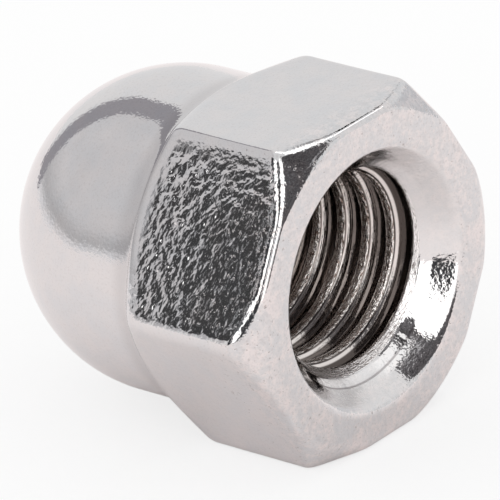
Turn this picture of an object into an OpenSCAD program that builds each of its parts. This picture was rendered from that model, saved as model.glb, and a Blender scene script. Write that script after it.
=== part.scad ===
// Domed cap nut with a blind M12 thread, forged and turned from one piece and chrome plated.
// It lies on one flat. The origin is the centre of the bearing face, at the mouth of the hole,
// and the thread's axis runs along +Y into the dome.

/* [Hexagon] */
// Width across the flats
across_flats = 19; // [18.8:0.1:22]
// Amount by which each of the six corners is eased, measured towards the axis
corner_ease = 0.06; // [0.02:0.01:0.4]
// Radius between the front chamfer and the six corners
front_corner_r = 1; // [0.1:0.1:1.5]
// Radius between the six corners and the shoulder
rear_corner_r = 1.4; // [0.1:0.1:1.5]

/* [Bearing face] */
// Outer diameter of the flat ring that bears on the work
ring_d = 18.7; // [16.5:0.1:18.7]
// Angle of the front chamfer, measured from the bearing face
front_angle = 41.5; // [25:0.5:45]
// Radius between the ring and the front chamfer
ring_edge_r = 1.3; // [0.1:0.1:1.5]

/* [Dome] */
// Height of the whole nut, from the bearing face to the tip of the dome
overall_h = 22.9; // [21:0.1:26]
// Diameter of the dome and of the straight wall below it
dome_d = 18.4; // [17:0.1:18.7]
// Height above the bearing face at which the dome's straight wall begins
neck_h = 11; // [8:0.05:12]
// Angle of the shoulder behind the hexagon, measured from the bearing face
shoulder_angle = 31; // [25:1:60]
// Radius of the hollow blend between the shoulder and the dome's wall
neck_r = 2; // [0.5:0.1:4]

/* [Threaded hole] */
// Major diameter of the thread, M12
thread_d = 12; // [11:0.5:13]
// Pitch of the thread
pitch = 1.75; // [1.25:0.25:2]
// Depth of the tapped thread, as a share of the full profile's
thread_share = 0.7; // [0.55:0.05:1]
// Depth of the full-width hole, from the bearing face
hole_depth = 16.5; // [14:0.1:17]
// Angle across the drill point at the bottom of the hole
drill_angle = 118; // [90:1:140]
// Diameter of the countersink at the bearing face
mouth_d = 14.8; // [13.4:0.1:16]
// Depth at which the countersink has narrowed to the major diameter
mouth_depth = 1.95; // [1:0.05:3]
// Radius of the lip between the ring and the countersink
lip_r = 0.9; // [0.1:0.1:1]

/* [Hidden] */
$fn = 96;

// Straight steps in each rounded edge of an outline
ARC_STEPS = 8;
// How far a cut runs past the face that it opens
CUT = 2;
// Height of the fundamental triangle of a 60 degree thread, as a share of the pitch
THREAD_TRIANGLE = sqrt(3) / 2;
// Share of that triangle between the major and the minor diameter of a full thread
FULL_THREAD = 5 / 8;

flat_r = across_flats / 2;
corner_r = flat_r / cos(30) - corner_ease;
ring_r = ring_d / 2;
dome_r = dome_d / 2;
dome_z = overall_h - dome_r;
front_corner_h = (corner_r - ring_r) * tan(front_angle);

// The hollow neck blend turns from the shoulder's flank into the dome's wall
neck_turn = 90 - shoulder_angle;
neck_centre_r = dome_r + neck_r;
flank_r = neck_centre_r - neck_r * cos(neck_turn);
flank_h = neck_h - neck_r * sin(neck_turn);
rear_corner_h = flank_h - (corner_r - flank_r) * tan(shoulder_angle);

bore_r = thread_d / 2 - thread_share * FULL_THREAD * THREAD_TRIANGLE * pitch;
mouth_r = mouth_d / 2;
mouth_slope = mouth_depth / (mouth_r - thread_d / 2);
bore_start = (mouth_r - bore_r) * mouth_slope;
drill_tip = hole_depth + bore_r / tan(drill_angle / 2);

// Points on an arc, from one angle to another
function arc(centre, radius, from, to) =
    [for (i = [0 : ARC_STEPS]) let (a = from + (to - from) * i / ARC_STEPS)
        centre + radius * [cos(a), sin(a)]];

function unit(v) = v / norm(v);

// Points that round the corner b of the path a, b, c to a radius
function rounded(a, b, c, radius) =
    let (u = unit(a - b), v = unit(c - b), half = acos(u * v) / 2,
         centre = b + unit(u + v) * radius / sin(half),
         start = b + u * radius / tan(half) - centre,
         end = b + v * radius / tan(half) - centre,
         from = atan2(start[1], start[0]),
         swing = atan2(start[0] * end[1] - start[1] * end[0], start * end))
    arc(centre, radius, from, from + swing);

// Hexagonal bar with a flat above and a flat below
module hex_bar() {
    translate([0, 0, -CUT]) cylinder(r = flat_r / cos(30), h = overall_h + 2 * CUT, $fn = 6);
}

// Half of the outline that is turned about the axis: ring, chamfer, shoulder, neck and dome
module turned_outline() {
    ring = [ring_r, 0];
    front_corner = [corner_r, front_corner_h];
    rear_corner = [corner_r, rear_corner_h];
    polygon(concat(
        [[0, 0]],
        rounded([0, 0], ring, front_corner, ring_edge_r),
        rounded(ring, front_corner, rear_corner, front_corner_r),
        rounded(front_corner, rear_corner, [flank_r, flank_h], rear_corner_r),
        arc([neck_centre_r, neck_h], neck_r, 180 + neck_turn, 180),
        [[dome_r, dome_z], [0, dome_z]]
    ));
    intersection() {
        translate([0, dome_z]) circle(r = dome_r);
        translate([0, dome_z]) square(dome_r);
    }
}

// Blind hole at the thread's crests, with its countersunk mouth and drill point
module tapped_hole() {
    mouth = [mouth_r, 0];
    bore_top = [bore_r, bore_start];
    lip = rounded([ring_r, 0], mouth, bore_top, lip_r);
    rotate_extrude() polygon(concat(
        [[0, drill_tip], [0, -CUT], [lip[0][0], -CUT]],
        lip,
        [bore_top, [bore_r, hole_depth]]
    ));
}

module cap_nut() {
    color([0.80, 0.79, 0.79])
    rotate([-90, 0, 0])
    difference() {
        intersection() {
            hex_bar();
            rotate_extrude() turned_outline();
        }
        tapped_hole();
    }
}

cap_nut();
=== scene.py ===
"""Cap nut: the plated nut with its true thread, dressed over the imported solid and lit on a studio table."""
import math
from collections import namedtuple
from types import SimpleNamespace

import bpy
from mathutils import Matrix, Vector

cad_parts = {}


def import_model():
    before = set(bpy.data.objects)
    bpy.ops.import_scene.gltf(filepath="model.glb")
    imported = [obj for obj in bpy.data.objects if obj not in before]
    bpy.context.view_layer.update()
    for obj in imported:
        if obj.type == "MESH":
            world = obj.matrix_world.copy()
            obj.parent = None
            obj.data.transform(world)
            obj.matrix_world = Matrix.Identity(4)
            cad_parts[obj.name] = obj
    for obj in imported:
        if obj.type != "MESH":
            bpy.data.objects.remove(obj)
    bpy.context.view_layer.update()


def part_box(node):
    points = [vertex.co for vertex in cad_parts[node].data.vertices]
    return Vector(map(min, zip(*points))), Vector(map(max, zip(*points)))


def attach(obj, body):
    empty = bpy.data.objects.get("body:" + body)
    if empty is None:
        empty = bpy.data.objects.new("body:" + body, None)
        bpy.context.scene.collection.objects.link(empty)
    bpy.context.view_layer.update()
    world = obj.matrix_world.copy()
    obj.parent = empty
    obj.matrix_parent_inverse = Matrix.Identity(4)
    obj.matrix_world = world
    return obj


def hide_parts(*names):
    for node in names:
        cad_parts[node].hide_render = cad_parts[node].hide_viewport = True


MM = 0.001
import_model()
low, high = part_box("cap_nut")
CENTRE = (low + high) / 2

# ---------------------------------------------------------------- sizes, in metres and radians
SIZES = {
    "Across Flats": high.z - low.z,
    "Corner Softness": 0.50 * MM,
    "Ring Diameter": 18.7 * MM,
    "Front Angle": math.radians(41.5),
    "Least Chamfer": 0.36 * MM,
    "Overall Height": high.y - 0.02 * MM,
    "Dome Diameter": 18.4 * MM,
    "Shoulder Angle": math.radians(31),
    "Neck Height": 9.87 * MM,
    "Thread Diameter": 12.1 * MM,
    "Crest Diameter": 10.8 * MM,
    "Crest Width": 0.48 * MM,
    "Pitch": 1.75 * MM,
    "Hole Depth": 16.5 * MM,
    "Drill Half Angle": math.radians(59),
    "Mouth Diameter": 14.8 * MM,
    "Mouth Depth": 1.87 * MM,
    "Mouth Floor Diameter": 11.74 * MM,
}
COLUMNS_PER_FLAT = 48
CROWDING = 0.8             # how far the columns crowd towards the six corners, below 1
SKIN_ROWS = 118            # rows of the outer skin, and below it the rows of each stretch of the bore
MOUTH_ROWS = 12
ROWS_PER_PITCH = 14
TAIL_ROWS = 2
POINT_ROWS = 10
JOIN_HEIGHT = 0.6 * MM     # height inside the mouth where the outer skin meets the bore
FIRST_CREST = 1.25 * MM    # height of the thread's crest at the first column
THREAD_FADE = (15.0 * MM, 16.1 * MM)    # the thread runs out between these heights
HELIX_END = 16.2 * MM      # the rows follow the helix up to here
LEAD_IN = 0.55             # narrowing of the thread's first turn below the countersink
COUNTERSINK = 0.77         # narrowing of the countersink's outer cone
BEVEL = 0.95               # narrowing of its steeper inner cone, down to the lead-in
BEVEL_WANDER = 0.16        # how far that narrowing wanders on the way round
RUN_IN = 2.0               # how steeply the thread deepens below the countersink
WORN_CORNER = 270          # angle of the corner that is rounder than the others, from +Z towards +X

# ---------------------------------------------------------------- camera axes
CAMERA_PLACE = Vector((-293.64, -259.66, 184.07)) * MM
CAMERA_RIGHT = Vector((0.63757, -0.76409, -0.09839))
CAMERA_DOWN = Vector((-0.38136, -0.20205, -0.90208))
CAMERA_AHEAD = Vector((0.66938, 0.61266, -0.42021))
TO_CAMERA = -CAMERA_AHEAD


# ---------------------------------------------------------------- node trees as expressions
class Wire:
    """A value in a node tree. Arithmetic on it adds Math nodes."""

    def __init__(self, graph, socket):
        self.graph = graph
        self.socket = socket

    def __add__(self, other):
        return self.graph.math("ADD", self, other)

    def __radd__(self, other):
        return self.graph.math("ADD", other, self)

    def __sub__(self, other):
        return self.graph.math("SUBTRACT", self, other)

    def __rsub__(self, other):
        return self.graph.math("SUBTRACT", other, self)

    def __mul__(self, other):
        return self.graph.math("MULTIPLY", self, other)

    def __rmul__(self, other):
        return self.graph.math("MULTIPLY", other, self)

    def __truediv__(self, other):
        return self.graph.math("DIVIDE", self, other)

    def __rtruediv__(self, other):
        return self.graph.math("DIVIDE", other, self)


class Graph:
    """A node tree that is built by calls."""

    def __init__(self, tree):
        self.tree = tree

    def node(self, kind, settings=None, sockets=None):
        """Adds a node: its settings first, then the values or links of its sockets."""
        made = self.tree.nodes.new(kind)
        for name, value in (settings or {}).items():
            setattr(made, name, value)
        for name, value in (sockets or {}).items():
            if isinstance(value, Wire):
                self.tree.links.new(value.socket, made.inputs[name])
            else:
                made.inputs[name].default_value = value
        return made

    def wire(self, made, output=0):
        return Wire(self, made.outputs[output])

    def math(self, operation, *values):
        return self.wire(self.node("ShaderNodeMath", {"operation": operation}, dict(enumerate(values))))

    def clamp(self, value):
        limited = self.node("ShaderNodeMath", {"operation": "ADD", "use_clamp": True}, {0: value, 1: 0.0})
        return self.wire(limited)

    def step(self, value, start, end):
        """0 before start, 1 past end and a smooth rise between them."""
        settings = {"interpolation_type": "SMOOTHSTEP"}
        sockets = {"Value": value, "From Min": start, "From Max": end}
        return self.wire(self.node("ShaderNodeMapRange", settings, sockets))

    def mix(self, factor, a, b):
        return a + (b - a) * factor

    def xyz(self, vector):
        parts = self.node("ShaderNodeSeparateXYZ", None, {0: vector})
        return [self.wire(parts, i) for i in range(3)]

    def vector(self, x, y, z):
        return self.wire(self.node("ShaderNodeCombineXYZ", None, {0: x, 1: y, 2: z}))

    def noise(self, place, wavelength, detail=2.0, roughness=0.5):
        """Noise from 0 to 1, with bumps about one wavelength apart."""
        sockets = {"Vector": place, "Scale": 1 / wavelength, "Detail": detail, "Roughness": roughness}
        return self.wire(self.node("ShaderNodeTexNoise", None, sockets))

    def blend(self, factor, a, b):
        """A colour between two others, each a wire or three numbers."""
        colour_a, colour_b, colour_out = 6, 7, 2    # the node's sockets for colours
        a, b = [value if isinstance(value, Wire) else (*value, 1.0) for value in (a, b)]
        sockets = {"Factor": factor, colour_a: a, colour_b: b}
        return self.wire(self.node("ShaderNodeMix", {"data_type": "RGBA"}, sockets), colour_out)

    def finish(self, kind, shader):
        """Links the last node to the tree's output."""
        out = self.node(kind)
        self.tree.links.new(shader.outputs[0], out.inputs[0])


# ---------------------------------------------------------------- the nut's surface
# A corner of the turned outline: its place, the lengths that its rounding cuts off before and
# after it, the rows in the rounding, and the rows on the straight that leads to it.
Corner = namedtuple("Corner", "r y back ahead bend run")


class Outline:
    """Radius and height of a row on an outline that is walked corner by corner."""

    def __init__(self, g, row, r, y):
        self.g, self.row = g, row
        self.r, self.y = r, y
        self.last = (r, y)
        self.at = 0

    def share(self, rows):
        """How far the row is through the next so many rows, from 0 to 1."""
        done = self.g.clamp((self.row - self.at) / rows)
        self.at += rows
        return done

    def straight(self, r, y, rows):
        s = self.share(rows)
        s = s * s * (3 - 2 * s)
        self.r = self.r + s * (r - self.last[0])
        self.y = self.y + s * (y - self.last[1])
        self.last = (r, y)

    def bend(self, corner, r, y, rows):
        """A quadratic curve from the last place to r and y, pulled towards the corner."""
        s = self.share(rows)
        moved = []
        for start, middle, end in zip(self.last, corner, (r, y)):
            moved.append(s * 2 * (middle - start) + s * s * (start - 2 * middle + end))
        self.r = self.r + moved[0]
        self.y = self.y + moved[1]
        self.last = (r, y)

    def walk(self, corners, end):
        """Goes round each corner and stops at the end, where the next rows go on."""
        places = [(c.r, c.y) for c in corners] + [(end.r, end.y)]
        longest_cut = 0.45
        before = self.last
        for corner, here, after in zip(corners, places, places[1:]):
            back, ahead = self.toward(here, before), self.toward(here, after)
            cut = self.g.math("MINIMUM", corner.back, back[2] * longest_cut)
            self.straight(here[0] + back[0] * cut, here[1] + back[1] * cut, corner.run)
            cut = self.g.math("MINIMUM", corner.ahead, ahead[2] * longest_cut)
            self.bend(here, here[0] + ahead[0] * cut, here[1] + ahead[1] * cut, corner.bend)
            before = here
        self.straight(end.r, end.y, end.run)

    def toward(self, a, b):
        """Unit direction from a to b, and the distance."""
        dr, dy = b[0] - a[0], b[1] - a[1]
        length = self.g.math("SQRT", self.g.math("ADD", dr * dr, dy * dy))
        return dr / length, dy / length, length

    def dome(self, radius, rows):
        """A quarter circle up to the pole."""
        turn = self.share(rows) * (math.pi / 2)
        self.r = self.r - radius * (1 - self.g.math("COSINE", turn))
        self.y = self.y + radius * self.g.math("SINE", turn)


def column_angle(g, u):
    """Angle of a column about the axis, from +Z towards +X, and its angle off the middle of its flat."""
    flat = g.math("FLOOR", u * 6)
    t = (u * 6 - flat) * 2 - 1
    crowded = t + CROWDING / math.pi * g.math("SINE", t * math.pi)
    off_flat = crowded * math.radians(30)
    return flat * math.radians(60) + off_flat, off_flat


def grid(g, columns, rows):
    """A sheet of points, with the share of the way round and the row's number of each."""
    sheet = g.node("GeometryNodeMeshGrid", None, {
        "Size X": 1.0, "Size Y": 1.0, "Vertices X": columns + 1, "Vertices Y": rows + 1})
    x, y, _ = g.xyz(g.wire(g.node("GeometryNodeInputPosition")))
    return g.wire(sheet), x + 0.5, (y + 0.5) * rows


def place(g, sheet, angle, r, y):
    spot = g.vector(r * g.math("SINE", angle), y, r * g.math("COSINE", angle))
    return g.wire(g.node("GeometryNodeSetPosition", None, {"Geometry": sheet, "Position": spot}))


def hexagon_radius(g, size, angle, off_flat, row):
    """Distance from the axis to the hexagon, with its corners rounded unevenly."""
    flat_r = size["Across Flats"] / 2
    off_worn = g.math("ABSOLUTE", angle - math.radians(WORN_CORNER))
    round_about = g.vector(g.math("SINE", angle), row * 0.07, g.math("COSINE", angle))
    wobble = g.noise(round_about, 1.0, 2.0)
    softness = size["Corner Softness"] * (1.5 - g.step(off_worn, 0.1, 0.4) + wobble)
    return g.math("SMOOTH_MIN", flat_r / g.math("COSINE", off_flat),
                  flat_r / g.math("COSINE", math.radians(60) - off_flat), softness)


def outer_skin(g, size, columns):
    """From inside the mouth over the lip, ring, chamfer, flats and shoulder to the dome's tip."""
    sheet, u, row = grid(g, columns, SKIN_ROWS)
    angle, off_flat = column_angle(g, u)
    hexagon = hexagon_radius(g, size, angle, g.math("ABSOLUTE", off_flat), row)
    mouth_r = size["Mouth Diameter"] / 2
    dome_r = size["Dome Diameter"] / 2
    ring_r = g.math("SMOOTH_MIN", size["Ring Diameter"] / 2, hexagon - size["Least Chamfer"], 0.1 * MM)
    chamfer_y = (hexagon - ring_r) * g.math("TANGENT", size["Front Angle"])
    flank_y = size["Neck Height"] - (hexagon - dome_r) * g.math("TANGENT", size["Shoulder Angle"])
    dome_y = size["Overall Height"] - dome_r
    outline = Outline(g, row, mouth_r - JOIN_HEIGHT * COUNTERSINK, JOIN_HEIGHT)
    outline.walk([
        Corner(mouth_r, 0.0, 0.5 * MM, 0.5 * MM, 6, 2),
        Corner(ring_r, 0.0, 0.5 * MM, 0.5 * MM, 8, 4),
        Corner(hexagon, chamfer_y, 0.55 * MM, 0.62 * MM, 14, 3),
        Corner(hexagon, flank_y, 0.9 * MM, 0.9 * MM, 10, 16),
        Corner(dome_r, size["Neck Height"], 1.0 * MM, 1.7 * MM, 14, 2),
    ], Corner(dome_r, dome_y, 0, 0, 0, 4))
    outline.dome(dome_r, SKIN_ROWS - outline.at)
    return place(g, sheet, angle, outline.r, outline.y)


def groove_radius(g, size, y, turn):
    """Distance from the axis to the thread, whose flanks lean 30 degrees from square to the axis."""
    crest_r, root_r = size["Crest Diameter"] / 2, size["Thread Diameter"] / 2
    crest_softness, root_softness = 0.12 * MM, 0.25 * MM
    flank_slope = math.sqrt(3)
    half_turn, spare_turns = 0.5, 8
    phase = g.math("FRACT", (y - FIRST_CREST) / size["Pitch"] - turn + half_turn + spare_turns)
    from_crest = g.math("ABSOLUTE", phase - half_turn) * size["Pitch"]
    flank = crest_r + (from_crest - size["Crest Width"] / 2) * flank_slope
    groove = g.math("SMOOTH_MAX", flank, crest_r, crest_softness)
    groove = g.math("SMOOTH_MIN", groove, root_r, root_softness)
    return crest_r + (groove - crest_r) * (1 - g.step(y, *THREAD_FADE))


def mouth_radius(g, size, y, angle):
    """Distance from the axis to the countersink's two cones and the lead-in below them."""
    floor_r, top = size["Mouth Floor Diameter"] / 2, size["Mouth Depth"]
    countersink = size["Mouth Diameter"] / 2 - y * COUNTERSINK
    uneven = g.noise(g.vector(g.math("SINE", angle), 0.0, g.math("COSINE", angle)), 0.06, 2.0)
    bevel = floor_r - (y - top) * (BEVEL + (uneven - 0.5) * BEVEL_WANDER)
    lead_in = floor_r - (y - top) * LEAD_IN
    return g.mix(g.math("GREATER_THAN", y, top), g.math("MINIMUM", countersink, bevel), lead_in)


def threaded_bore(g, size, columns):
    """From inside the mouth down the countersink, the thread and the drill point. Rows follow the helix."""
    top = size["Mouth Depth"]
    helix_rows = math.ceil((HELIX_END - SIZES["Mouth Depth"]) / SIZES["Pitch"] + 1) * ROWS_PER_PITCH
    rows = MOUTH_ROWS + helix_rows + TAIL_ROWS + POINT_ROWS
    sheet, u, row = grid(g, columns, rows)
    angle, _ = column_angle(g, u)
    turn = (angle + math.radians(30)) / math.tau

    in_mouth = g.clamp(row / MOUTH_ROWS)
    in_tail = g.clamp((row - MOUTH_ROWS - helix_rows) / TAIL_ROWS)
    in_point = g.clamp((row - MOUTH_ROWS - helix_rows - TAIL_ROWS) / POINT_ROWS)
    climbed = ((row - MOUTH_ROWS) / ROWS_PER_PITCH - 1 + turn) * size["Pitch"] + top
    climbed = g.math("MINIMUM", g.math("MAXIMUM", climbed, top), HELIX_END)
    drill_length = size["Crest Diameter"] / 2 / g.math("TANGENT", size["Drill Half Angle"])
    y = (climbed - (1 - in_mouth) * (top - JOIN_HEIGHT) + in_tail * (size["Hole Depth"] - HELIX_END)
         + in_point * drill_length)

    opening = mouth_radius(g, size, y, angle)
    groove = g.math("MINIMUM", groove_radius(g, size, y, turn), opening + (y - top) * RUN_IN)
    softness = g.step(y, top, top + 0.1 * MM) * 0.05 * MM
    wall = g.math("SMOOTH_MAX", groove, opening, softness)
    return place(g, sheet, angle, wall * (1 - in_point), y)


def nut_tree(material):
    """Geometry nodes for the whole nut, with an input for each of its sizes."""
    tree = bpy.data.node_groups.new("cap_nut_surface", "GeometryNodeTree")
    tree.interface.new_socket(name="Geometry", in_out="OUTPUT", socket_type="NodeSocketGeometry")
    for name in SIZES:
        tree.interface.new_socket(name=name, in_out="INPUT", socket_type="NodeSocketFloat")
    g = Graph(tree)
    inputs = g.node("NodeGroupInput")
    size = {name: g.wire(inputs, name) for name in SIZES}
    columns = 6 * COLUMNS_PER_FLAT
    skin = outer_skin(g, size, columns)
    bore = g.wire(g.node("GeometryNodeFlipFaces", None, {"Mesh": threaded_bore(g, size, columns)}))
    joined = g.node("GeometryNodeJoinGeometry")
    for part in (bore, skin):
        tree.links.new(part.socket, joined.inputs[0])
    merged = g.node("GeometryNodeMergeByDistance", None, {"Geometry": g.wire(joined), "Distance": 1e-7})
    smooth = g.node("GeometryNodeSetShadeSmooth", None, {"Geometry": g.wire(merged)})
    real = g.node("GeometryNodeRealizeInstances", None, {"Geometry": g.wire(smooth)})
    finished = g.node("GeometryNodeSetMaterial", None, {"Geometry": g.wire(real), "Material": material})
    g.finish("NodeGroupOutput", finished)
    return tree


def build_nut(material):
    """Evaluates the tree on a helper object and keeps the result as a plain mesh."""
    maker = bpy.data.objects.new("maker", bpy.data.meshes.new("maker"))
    bpy.context.scene.collection.objects.link(maker)
    modifier = maker.modifiers.new("surface", "NODES")
    modifier.node_group = nut_tree(material)
    for item in modifier.node_group.interface.items_tree:
        if item.in_out == "INPUT":
            modifier[item.identifier] = SIZES[item.name]
    bpy.context.view_layer.update()
    graph = bpy.context.evaluated_depsgraph_get()
    mesh = bpy.data.meshes.new_from_object(maker.evaluated_get(graph))
    bpy.data.objects.remove(maker)
    nut = bpy.data.objects.new("plated_cap_nut", mesh)
    bpy.context.scene.collection.objects.link(nut)
    return nut


# ---------------------------------------------------------------- plating
COLOURS = {
    "cool plating": (0.70, 0.70, 0.71),
    "warm plating": (0.75, 0.725, 0.72),
    "front warm patch": (0.83, 0.785, 0.77),
    "front dull patch": (0.64, 0.63, 0.635),
    "front warm cloud": (0.85, 0.785, 0.775),
    "front cool cloud": (0.68, 0.695, 0.71),
    "grain": (0.56, 0.52, 0.51),
    # painted shade in the small dents
    "pit_shade": (0.46, 0.41, 0.39),
    # painted shade in the crease between the hexagon's shoulder and the dome
    "neck": (0.52, 0.50, 0.50),
    # painted light: the countersink is coloured lighter to make up for the shaded floor that it reflects
    "mouth": (0.84, 0.82, 0.815),
    # a painted dark line along the edge between the countersink's two cones, standing for what that edge
    # reflects
    "mouth seam": (0.30, 0.28, 0.28),
    # darker, browner plating further into the bore, partly painted shade of the recess
    "deep thread shade": (0.61, 0.555, 0.525),
    # painted shade in the thread's roots, shallower and further into the bore
    "shallow root shade": (0.062, 0.051, 0.046),
    "deep root shade": (0.18, 0.155, 0.143),
    # painted light: a lighter band on the flanks, where they reflect the bright outside
    "painted flank light": (0.80, 0.75, 0.72),
    "torn crest": (0.36, 0.27, 0.23),
    # bright torn metal on the crests, partly painted glints
    "bright burr": (1.0, 0.955, 0.92),
    "torn lead-in": (0.42, 0.38, 0.36),
    "scraped lead-in": (0.98, 0.95, 0.94),
}
HAMMERED_ALONG = (0.397, -0.607, 0.688)    # direction in which the hammered texture is drawn out
HAMMERED_STRETCH = 1.35


class Finish(Graph):
    """The plating's node tree, with the places on the nut that its masks are made from."""

    def __init__(self, tree):
        super().__init__(tree)
        self.place = self.wire(self.node("ShaderNodeTexCoord"), "Object")
        self.x, self.y, self.z = self.xyz(self.place)
        self.radius = self.math("SQRT", self.x * self.x + self.z * self.z)

    def facing(self, degrees):
        """Distance from the axis in a direction. Directions about the axis turn from +Z towards +X."""
        turn = math.radians(degrees)
        return self.x * math.sin(turn) + self.z * math.cos(turn)

    def around(self, degrees):
        """1 in a direction about the axis, 0 a quarter turn from it and -1 opposite."""
        return self.facing(degrees) / self.radius

    def rise(self, length, start, end):
        """A mask that rises from 0 to 1 between two lengths in mm."""
        return self.step(length, start * MM, end * MM)

    def fall(self, length, start, end):
        """A mask that falls from 1 to 0 between two lengths in mm."""
        return 1 - self.rise(length, start, end)

    def stretched(self, direction, amount):
        """The place, drawn out along a direction so that a noise on it runs that way."""
        dot, scale, subtract = [{"operation": name} for name in ("DOT_PRODUCT", "SCALE", "SUBTRACT")]
        along = self.node("ShaderNodeVectorMath", dot, {0: self.place, 1: direction})
        pull = self.wire(along, "Value") * (1 - 1 / amount)
        shift = self.wire(self.node("ShaderNodeVectorMath", scale, {0: direction, "Scale": pull}))
        return self.wire(self.node("ShaderNodeVectorMath", subtract, {0: self.place, 1: shift}))


def finish_patterns(g):
    """The noises that the finish is made from. Those of the thread run along its helix."""
    turn = g.math("ARCTAN2", g.z, g.x)
    climb = g.y + turn * (SIZES["Pitch"] / math.tau)
    slanted = g.stretched(HAMMERED_ALONG, HAMMERED_STRETCH)
    return SimpleNamespace(
        torn=g.noise(g.place, 0.22 * MM, 2.0, 0.6),
        hammered=g.noise(slanted, 0.50 * MM, 1.8, 0.5),
        pits=g.noise(g.place, 0.24 * MM, 2.0, 0.5),
        fine=g.noise(g.place, 0.20 * MM, 1.0),
        soft=g.noise(g.place, 1.1 * MM, 1.0),
        streaks=g.noise(g.vector(g.radius, climb, turn * (0.25 * MM)), 0.10 * MM, 2.0, 0.5),
        speckle=g.noise(g.vector(g.radius, climb * 1.4, turn * (1.6 * MM)), 0.12 * MM, 2.0, 0.55),
        tint=g.noise(g.place, 1.6 * MM, 4.0, 0.6),
        grain=g.noise(g.place, 0.13 * MM, 2.0, 0.6),
        patches=g.noise(g.place, 0.4 * MM, 4.0, 0.7))


def outer_masks(g, on):
    """Adds the masks of the flats, the chamfer, the painted shade in the crease between the shoulder and the
    dome, and the front.
    """
    flat_r = SIZES["Across Flats"] / 2
    reaches = [g.math("ABSOLUTE", g.facing(angle)) for angle in (0, 60, -60)]
    reach = g.math("MAXIMUM", reaches[0], g.math("MAXIMUM", reaches[1], reaches[2]))
    on.flat = (g.rise(reach - flat_r, -0.22, -0.08) * g.rise(g.y, 0.5, 1.2)
               * g.fall(g.y, 8.6, 9.4) * g.fall(g.radius, 10.45, 10.85))
    up_left = g.facing(30)
    on.left = (g.rise(g.facing(-60) - flat_r, -0.3, -0.1) * g.fall(up_left, 3.7, 4.6)
               * g.fall(g.y + up_left * 0.10, 8.4, 9.2))
    on.upper = g.rise(g.z - flat_r, -0.10, -0.04)
    on.chamfer = g.fall(g.y, 1.2, 1.5) * g.rise(g.radius, 9.4, 9.6)
    # painted shade in the crease between the hexagon's shoulder and the dome
    on.neck = g.rise(g.y, 9.2, 9.8) * g.fall(g.y, 10.3, 11.4) * on.outside
    on.front = g.fall(g.y, 0.8, 2.5) * (1 - on.thread)


def mouth_masks(g, on, ragged):
    """Adds the masks of the countersink: a painted dark line along the edge between its two cones, its two
    duller sides and its rougher rim.
    """
    upward = g.around(0)
    on.bottom = on.mouth * g.step(g.around(192), 0.90, 0.97)
    on.right = on.mouth * g.step(g.around(43), 0.812, 0.962)
    # painted shade: a dark line along the edge between the two cones
    on.seam = (g.rise(g.y, 1.28, 1.34) * g.fall(g.y, 1.38, 1.45) * on.mouth
               * (1 - g.step(upward, -0.85, -0.6)))
    outer_share = 1 - 0.8 * g.rise(g.y + ragged * 3.0, 1.0, 1.4)
    above_bottom = 0.4 + 0.6 * g.step(upward, -0.82, -0.72)
    on.rim = on.mouth * outer_share * above_bottom


def thread_masks(g, on, ragged):
    """Adds the masks of the thread's crests, their edges and roots, which take painted shade, the flanks,
    which take a painted light band, and the lead-in.
    """
    before_point = g.fall(g.y - SIZES["Hole Depth"], -1.1, -0.5)
    outward = g.radius - SIZES["Crest Diameter"] / 2
    lead_in = SIZES["Mouth Floor Diameter"] / 2 - (g.y - SIZES["Mouth Depth"]) * LEAD_IN
    on.lead_in = on.thread * g.fall(g.math("ABSOLUTE", g.radius - lead_in), 0.03, 0.06)
    past_lead_in = on.thread * (1 - on.lead_in)
    on.crest = on.thread * g.fall(outward + ragged, 0.04, 0.10) * before_point
    # painted shade along the crests' edges
    on.edge = past_lead_in * g.rise(outward, 0.04, 0.08) * g.fall(outward, 0.13, 0.20) * before_point
    # painted light band on the flanks
    on.flank = past_lead_in * g.rise(outward, 0.14, 0.20) * g.fall(outward, 0.28, 0.38)
    # painted shade in the roots
    on.root = past_lead_in * g.rise(outward, 0.20, 0.36)
    on.deep = g.rise(g.y, 2.0, 6.0)


def finish_masks(g, patterns):
    """Where each kind of finish, painted shade and painted light lies on the nut, as masks from 0 to 1."""
    ragged = (patterns.torn - 0.5) * (0.12 * MM)
    below_mouth = g.y - SIZES["Mouth Depth"]
    on = SimpleNamespace()
    on.thread = (g.fall(g.radius - SIZES["Thread Diameter"] / 2, 0.15, 0.25)
                 * g.rise(below_mouth, -0.01, 0.03) * g.fall(g.y, 19.9, 20.2))
    at_mouth = g.fall(g.radius - SIZES["Mouth Diameter"] / 2, -0.15, 0.10) * g.fall(below_mouth, 0.33, 0.63)
    on.mouth = at_mouth * (1 - on.thread)
    on.outside = (1 - on.thread) * (1 - at_mouth)
    outer_masks(g, on)
    mouth_masks(g, on, ragged)
    thread_masks(g, on, ragged)
    # Where the small dents lie: the relief presses them in and the colour paints shade into them.
    on.pits = g.step(patterns.pits, 0.65, 0.73) * on.outside * (1 - on.upper) * g.fall(g.y, 2.5, 6.0)
    return on


def relief(g, patterns, on):
    """Height of the fine relief, in metres. Each line is a pattern and its depth in mm."""
    hammered_depth = on.flat * (0.03 + on.left * (0.07 + 0.06 * g.rise(g.y, 2.0, 7.5)))
    torn_depth = (on.rim + on.chamfer) * 0.014 + on.crest * 0.10 + on.lead_in * 0.03
    speckle_depth = (on.crest + on.lead_in * 0.5) * 0.055
    streak_depth = on.thread * (1 - on.crest) * 0.015
    height = ((patterns.hammered - 0.5) * hammered_depth
              + (patterns.torn - 0.5) * torn_depth
              + (patterns.speckle - 0.5) * speckle_depth
              + (patterns.soft - 0.5) * (on.mouth * 0.015)
              + (patterns.streaks - 0.5) * streak_depth
              + (patterns.fine - 0.5) * 0.007
              - on.pits * 0.012)
    return height * MM


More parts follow.
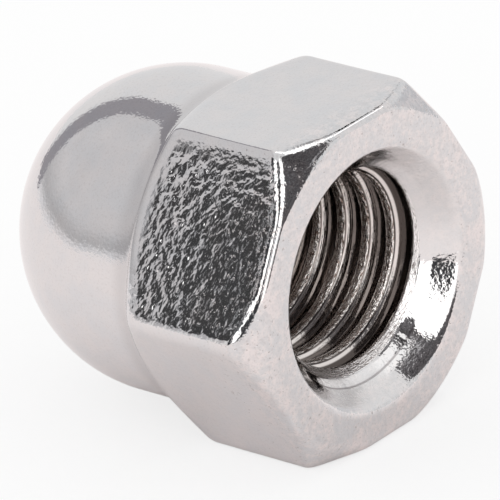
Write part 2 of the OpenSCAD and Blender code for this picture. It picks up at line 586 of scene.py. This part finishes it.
def outer_colour(g, patterns, on):
    """Colour of the plating, with its tints and grain, painted shade in its small dents and in the crease
    between the shoulder and the dome, and painted light in the mouth.
    """
    tint, patches = patterns.tint, patterns.patches
    layers = [
        (on.front * g.step(patches, 0.50, 0.62) * 0.62, "front warm patch"),
        (on.front * (1 - g.step(patches, 0.38, 0.50)) * 0.62, "front dull patch"),
        (on.front * g.step(tint, 0.50, 0.66) * 0.5, "front warm cloud"),
        (on.front * (1 - g.step(tint, 0.34, 0.50)) * 0.5, "front cool cloud"),
        # painted shade: a dark line along the edge between the two cones
        (on.seam * 0.7, "mouth seam"),
        (g.step(patterns.grain, 0.50, 0.72) * (0.28 + on.front * 0.22), "grain"),
        # painted shade in the small dents
        (on.pits * 0.6, "pit_shade"),
        # painted shade in the crease between the hexagon's shoulder and the dome
        (on.neck * 0.45, "neck"),
        # painted light: the countersink is coloured lighter to make up for the shaded floor that it reflects
        (on.mouth * (1 - on.seam) * 0.55, "mouth"),
    ]
    colour = g.blend(g.step(tint, 0.25, 0.75), COLOURS["cool plating"], COLOURS["warm plating"])
    for amount, name in layers:
        colour = g.blend(amount, colour, COLOURS[name])
    return colour


def thread_colour(g, patterns, on, colour):
    """The outer colour, with painted shade in the thread's roots and along its crests' edges, a painted light
    band on its flanks, and torn crests with painted glints laid over it.
    """
    # painted shade for the roots and the crests' edges
    root = g.blend(on.deep, COLOURS["shallow root shade"], COLOURS["deep root shade"])
    # the bright share grows towards -Z: painted glints, heavier on that side
    bright = g.step(patterns.speckle - g.around(0) * 0.07, 0.41, 0.53)
    burr_and_glint = g.blend(bright, COLOURS["torn crest"], COLOURS["bright burr"])
    bright = g.step(patterns.speckle, 0.32, 0.46)
    scraped = g.blend(bright, COLOURS["torn lead-in"], COLOURS["scraped lead-in"])
    # darker, browner plating further into the bore, partly painted shade of the recess
    colour = g.blend(on.thread * on.deep, colour, COLOURS["deep thread shade"])
    # painted shade in the roots and along the crests' edges
    colour = g.blend(g.math("MAXIMUM", on.root, on.edge), colour, root)
    # painted light band on the flanks
    colour = g.blend(on.flank, colour, COLOURS["painted flank light"])
    # torn crests, their bright bits partly painted glints
    colour = g.blend(on.crest, colour, burr_and_glint)
    return g.blend(on.lead_in, colour, scraped)


def plating():
    material = bpy.data.materials.new("bright_plating")
    material.use_nodes = True
    material.node_tree.nodes.clear()
    g = Finish(material.node_tree)
    patterns = finish_patterns(g)
    on = finish_masks(g, patterns)
    height = relief(g, patterns, on)
    bump = g.node("ShaderNodeBump", None, {"Strength": 1.0, "Distance": 1.0, "Height": height})
    # The colour is the plating's own tints, grain and torn crests, with painted shade and painted light laid
    # into it.
    colour = thread_colour(g, patterns, on, outer_colour(g, patterns, on))
    rough = (0.06 + on.bottom * 0.20 + on.right * 0.20 + on.thread * 0.03 + on.crest * 0.12
             + on.lead_in * 0.16 + on.flat * 0.06)
    shader = g.node("ShaderNodeBsdfPrincipled", None, {
        "Base Color": colour, "Metallic": 1.0, "Roughness": rough, "Normal": g.wire(bump)})
    g.finish("ShaderNodeOutputMaterial", shader)
    return material


# ---------------------------------------------------------------- studio cards
def glow(name, colour, level=1.0, mottle=0.0, cloud=0.03):
    """A glowing card. Mottle is how strongly its light varies, in clouds of the given size."""
    material = bpy.data.materials.new(name)
    material.use_nodes = True
    g = Graph(material.node_tree)
    g.tree.nodes.clear()
    strength = level
    if mottle:
        patchy = g.noise(g.wire(g.node("ShaderNodeTexCoord"), "Object"), cloud, 3.0, 0.6)
        strength = level * (1 + (patchy - 0.5) * mottle)
    emission = g.node("ShaderNodeEmission", None, {"Color": (*colour, 1.0), "Strength": strength})
    g.finish("ShaderNodeOutputMaterial", emission)
    return material


def fading_glow(name, colour, foot, lower, upper, foot_end, fade):
    """A glowing screen with three levels of light: its foot, its lower part and its upper part."""
    material = bpy.data.materials.new(name)
    material.use_nodes = True
    g = Graph(material.node_tree)
    g.tree.nodes.clear()
    spot = g.wire(g.node("ShaderNodeTexCoord"), "Object")
    height = g.xyz(spot)[2]
    at_foot = 1 - g.step(height, low.z, foot_end)
    level = lower + g.step(height, *fade) * (upper - lower) + at_foot * (foot - lower)
    strength = level * (1 + (g.noise(spot, 0.06, 2.0) - 0.5) * 0.16)
    emission = g.node("ShaderNodeEmission", None, {"Color": (*colour, 1.0), "Strength": strength})
    g.finish("ShaderNodeOutputMaterial", emission)
    return material


def stage_sheet(name, points, faces, material):
    """A card or flag of the studio, seen only in the plating."""
    mesh = bpy.data.meshes.new(name)
    mesh.from_pydata(points, [], faces)
    mesh.materials.append(material)
    made = bpy.data.objects.new(name, mesh)
    bpy.context.scene.collection.objects.link(made)
    made.visible_camera = False
    made.visible_diffuse = False
    made.visible_shadow = False


def direction(azimuth, elevation):
    """Unit vector from the nut. Azimuth 0 is +Y and 90 is +X."""
    a, e = math.radians(azimuth), math.radians(elevation)
    return Vector((math.sin(a) * math.cos(e), math.cos(a) * math.cos(e), math.sin(e)))


def card(name, azimuth, elevation, width, height, distance, material, roll=0.0):
    """A flat card that faces the nut. Width, height and roll are in degrees."""
    toward = direction(azimuth, elevation)
    half_w = distance * math.tan(math.radians(width / 2))
    half_h = distance * math.tan(math.radians(height / 2))
    facing_nut = (-toward).to_track_quat("Z", "Y").to_matrix().to_4x4()
    turn = facing_nut @ Matrix.Rotation(math.radians(roll), 4, "Z")
    corners = [(-half_w, -half_h, 0), (half_w, -half_h, 0), (half_w, half_h, 0), (-half_w, half_h, 0)]
    points = [turn @ Vector(c) + toward * distance + CENTRE for c in corners]
    stage_sheet(name, points, [(0, 1, 2, 3)], material)


def mirrored(normal):
    """Direction of what a surface with this normal reflects to the camera."""
    return normal * (2 * normal.dot(TO_CAMERA)) - TO_CAMERA


def near_flag(name, distance, low_side, high_side, material):
    """A small flag in the mirror path of the left flat. Sides are in mm along the nut and up the flat."""
    flat_middle = Vector((-8.23, 5.0, 4.75)) * MM
    toward = mirrored(direction(-90, 30))
    along = (Vector((0.0, 1.0, 0.0)) - toward * toward.y).normalized()
    up = along.cross(toward)
    corners = [(low_side[0], low_side[1]), (high_side[0], low_side[1]),
               (high_side[0], high_side[1]), (low_side[0], high_side[1])]
    points = [flat_middle + toward * (distance * MM) + along * (a * MM) + up * (b * MM) for a, b in corners]
    stage_sheet(name, points, [(0, 1, 2, 3)], material)


def mirrored_sheet(name, rows, distance, material):
    """A sheet in the mirror path of a patch. Each row is a list of places and normals on the nut."""
    points = [spot + mirrored(normal) * distance for row in rows for spot, normal in row]
    width = len(rows[0])
    faces = [(i * width + j, i * width + j + 1, (i + 1) * width + j + 1, (i + 1) * width + j)
             for i in range(len(rows) - 1) for j in range(width - 1)]
    stage_sheet(name, points, faces, material)


def mouth_card(name, start, end, depths, slope, distance, material):
    """A small card in the mirror path of part of the countersink, between two angles about the axis."""
    steps = 8
    floor_r = SIZES["Mouth Floor Diameter"] / 2
    rows = []
    for step in range(steps + 1):
        angle = math.radians(start + (end - start) * step / steps)
        outward = Vector((math.sin(angle), 0.0, math.cos(angle)))
        normal = (-outward - Vector((0.0, slope, 0.0))).normalized()
        row = []
        for depth in depths:
            radius = min(SIZES["Mouth Diameter"] / 2 - depth * COUNTERSINK,
                         floor_r + (SIZES["Mouth Depth"] - depth) * BEVEL)
            row.append((outward * radius + Vector((0.0, depth, 0.0)), normal))
        rows.append(row)
    mirrored_sheet(name, rows, distance, material)


def front_edge(flat_angle, share, turned):
    """A place on a flat's front edge, and the normal part of the way round from the flat to the chamfer."""
    angle = math.radians(flat_angle)
    across = Vector((math.sin(angle), 0.0, math.cos(angle)))
    along = Vector((across.z, 0.0, -across.x))
    front = SIZES["Front Angle"]
    side_length = SIZES["Across Flats"] / math.sqrt(3)
    spot = across * (SIZES["Across Flats"] / 2) + along * ((share - 0.5) * side_length)
    chamfer = spot.normalized() * math.sin(front) - Vector((0.0, math.cos(front), 0.0))
    spot.y = max(spot.length - SIZES["Ring Diameter"] / 2, SIZES["Least Chamfer"]) * math.tan(front)
    return spot, across.slerp(chamfer, turned)


def split_edge(material):
    """A narrow flag in the mirror path of the left flat's front edge. It splits its shine into two lines."""
    steps = 16
    rows = []
    for step in range(steps + 1):
        share = step / steps
        bulge = max(0.0, 1 - abs(share - 0.2) / 0.15)
        rows.append([front_edge(-60, share, turned) for turned in (0.43, 0.60 + 0.22 * bulge)])
    mirrored_sheet("edge_flag", rows, 12 * MM, material)


def edge_line(name, shares, turned, material):
    """A narrow card in the mirror path of the upper flat's front edge. It narrows towards its far end."""
    steps = 12
    middle = (turned[0] + turned[1]) / 2
    rows = []
    for step in range(steps + 1):
        share = shares[0] + (shares[1] - shares[0]) * step / steps
        half = (turned[1] - turned[0]) / 2 * (1 - 0.6 * step / steps)
        rows.append([front_edge(0, share, middle + side * half) for side in (-1, 1)])
    mirrored_sheet(name, rows, 12 * MM, material)


def far_cards(white, black):
    """Softboxes, flags and screens that stand round the nut."""
    dim = glow("flag_dim", (0.105, 0.10, 0.105), mottle=7.0, cloud=0.012)
    grey = fading_glow("screen_grey", (1.0, 0.985, 1.0), foot=0.90, lower=0.52, upper=0.73,
                       foot_end=0.045, fade=(0.02, 0.12))
    side = glow("screen_side_grey", (0.72, 0.72, 0.74))
    edge = glow("screen_edge", (0.37, 0.36, 0.385))
    card("key_softbox", -103, 27, 46, 44, 0.32, white)
    card("key_softbox_right", -142, 28, 36, 60, 0.33, white, roll=16)
    card("top_softbox", 80, 74, 30, 16, 0.33, white)
    card("camera_flag", -127.5, 11.5, 13, 30, 0.27, black)
    card("side_flag", -72, 22, 12, 50, 0.26, black)
    card("front_flag", 176, 31, 38, 66, 0.26, dim)
    card("side_screen", 100, 8, 30, 20, 0.30, side)
    card("screen", -20, 32, 74, 72, 0.34, grey)
    card("screen_side", 15, 24, 14, 60, 0.31, edge, roll=-14)


def near_cards(white, black):
    """Small cards that stand close to one face or edge, for the lines and patches that it reflects."""
    # Each flag behind the first is paler and a little larger, which softens the first one's outline.
    for rim, shade in enumerate((0.05, 0.20, 0.34, 0.48)):
        soft_black = glow("flag_rim_%d" % rim, (shade, shade, shade * 1.03))
        near_flag("near_flag_%d" % rim, 20.0 + 0.1 * rim,
                  (-5.7 - rim * 0.6, -8.2 - rim * 0.3), (1.6 + rim * 1.1, 4.8 + rim * 0.15), soft_black)
    haze = glow("flag_haze", (0.28, 0.28, 0.285), mottle=7.0, cloud=0.004)
    cloudy = glow("flag_cloudy", (0.44, 0.435, 0.445), mottle=3.0, cloud=0.003)
    glint = glow("card_glint", (1.0, 1.0, 1.0), 1.15)
    split_edge(black)
    edge_line("top_edge_light", (0.0, 0.70), (0.52, 0.80), white)
    edge_line("top_edge_dark", (0.10, 0.97), (0.28, 0.44), haze)
    mouth_card("mouth_haze", 145, 161, (0.45 * MM, 1.35 * MM), COUNTERSINK, 25 * MM, cloudy)
    mouth_card("mouth_glint", 150, 212, (1.38 * MM, 1.86 * MM), BEVEL, 3 * MM, glint)


def studio():
    white = glow("softbox_white", (1.0, 1.0, 1.0), 1.9)
    black = glow("flag_black", (0.05, 0.05, 0.055))
    far_cards(white, black)
    near_cards(white, black)


# ---------------------------------------------------------------- table, world and camera
def floor():
    """A pale matt table, whose shadows the camera sees softened by a share of plain white."""
    half, z, softened = 3.0, low.z, 0.75
    mesh = bpy.data.meshes.new("table")
    corners = [(-half, -half, z), (half, -half, z), (half, half, z), (-half, half, z)]
    mesh.from_pydata(corners, [], [(0, 1, 2, 3)])
    material = bpy.data.materials.new("pale_table")
    material.use_nodes = True
    g = Graph(material.node_tree)
    g.tree.nodes.clear()
    path = g.node("ShaderNodeLightPath")
    colour = g.blend(g.wire(path, "Is Glossy Ray"), (0.985, 0.985, 0.985), (0.99, 0.945, 0.94))
    matt = g.node("ShaderNodeBsdfDiffuse", None, {"Color": colour})
    white = g.node("ShaderNodeEmission", None, {"Color": (1.0, 1.0, 1.0, 1.0), "Strength": 0.99})
    mixed = g.node("ShaderNodeMixShader", None, {
        0: g.wire(path, "Is Camera Ray") * softened, 1: g.wire(matt), 2: g.wire(white)})
    g.finish("ShaderNodeOutputMaterial", mixed)
    mesh.materials.append(material)
    table = bpy.data.objects.new("table", mesh)
    bpy.context.scene.collection.objects.link(table)


def world():
    """White light all round, a near white background, and a greyer room in the plating."""
    made = bpy.data.worlds.new("studio")
    bpy.context.scene.world = made
    made.use_nodes = True
    g = Graph(made.node_tree)
    g.tree.nodes.clear()
    path = g.node("ShaderNodeLightPath")
    seen = g.blend(g.wire(path, "Is Camera Ray"), (1.0, 1.0, 1.0), (0.985, 0.985, 0.985))
    seen = g.blend(g.wire(path, "Is Glossy Ray"), seen, (0.875, 0.875, 0.88))
    background = g.node("ShaderNodeBackground", None, {"Color": seen, "Strength": 1.0})
    g.finish("ShaderNodeOutputWorld", background)


def camera():
    """Long lens from the front left and above, with the nut's upper flat leaning a little to the right."""
    data = bpy.data.cameras.new("camera")
    data.sensor_width = 36.0
    data.lens = 576.0
    data.clip_start, data.clip_end = 0.05, 10.0
    made = bpy.data.objects.new("camera", data)
    bpy.context.scene.collection.objects.link(made)
    turn = Matrix((CAMERA_RIGHT, -CAMERA_DOWN, -CAMERA_AHEAD)).transposed().to_4x4()
    made.matrix_world = Matrix.Translation(CAMERA_PLACE) @ turn
    bpy.context.scene.camera = made


nut = build_nut(plating())
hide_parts("cap_nut")
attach(nut, "root")
studio()
floor()
world()
camera()
bpy.context.scene.view_settings.view_transform = "Standard"
